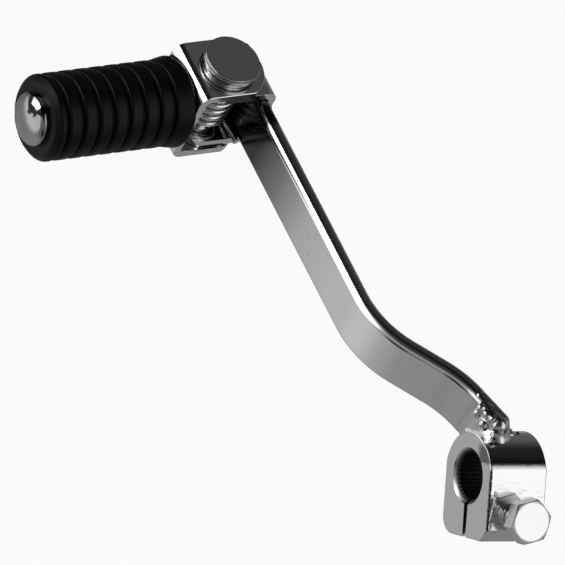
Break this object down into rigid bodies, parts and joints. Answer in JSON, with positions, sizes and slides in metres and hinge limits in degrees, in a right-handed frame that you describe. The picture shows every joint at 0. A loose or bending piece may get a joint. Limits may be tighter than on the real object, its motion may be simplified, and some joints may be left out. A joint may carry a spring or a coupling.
{
  "type": "folding gear lever",
  "caption": "Foot gear lever with a splined clamp boss, a stepped flat arm and a sprung folding toe peg in a ribbed rubber sleeve.",
  "frame": {"origin": "centre of the splined bore, at the middle of its length", "axes": "+Y along the bore, away from the peg; +Z away from the clamp slot; +X towards the pinch bolt's head"},
  "size_m": [0.1054, 0.1059, 0.113],
  "materials": {
    "chrome_plate": "bright chrome plate over flat steel bar and folded sheet",
    "chrome_weld": "chrome plate over a lumpy weld bead",
    "turned_chrome": "chrome plate over turned steel, with faint turning marks",
    "spring_wire": "bright drawn spring wire",
    "zinc_bolt": "bright zinc plate",
    "black_rubber": "moulded black rubber with a soft sheen"
  },
  "bodies": {
    "lever": {"clamp_boss": "chrome_plate", "pinch_bolt": "zinc_bolt", "arm": "chrome_plate", "boss_weld": "chrome_weld", "arm_bracket": "chrome_plate", "bracket_weld": "chrome_weld", "pivot_rivet": "turned_chrome", "rivet_washer": "turned_chrome", "torsion_spring": "spring_wire"},
    "peg": {"peg_bracket": "chrome_plate", "peg_rod": "turned_chrome", "rubber_sleeve": "black_rubber"}
  },
  "joints": [
    {"name": "peg_fold", "type": "hinge", "parent": "lever", "child": "peg", "pos_m": [-0.07283, -0.04407, 0.08289], "axis": [0.7102, -0.0401, 0.7028], "range_deg": [0, 60], "stiffness_Nm_per_rad": 0.38, "springref_deg": -57.3, "deforming": ["torsion_spring"]}
  ]
}
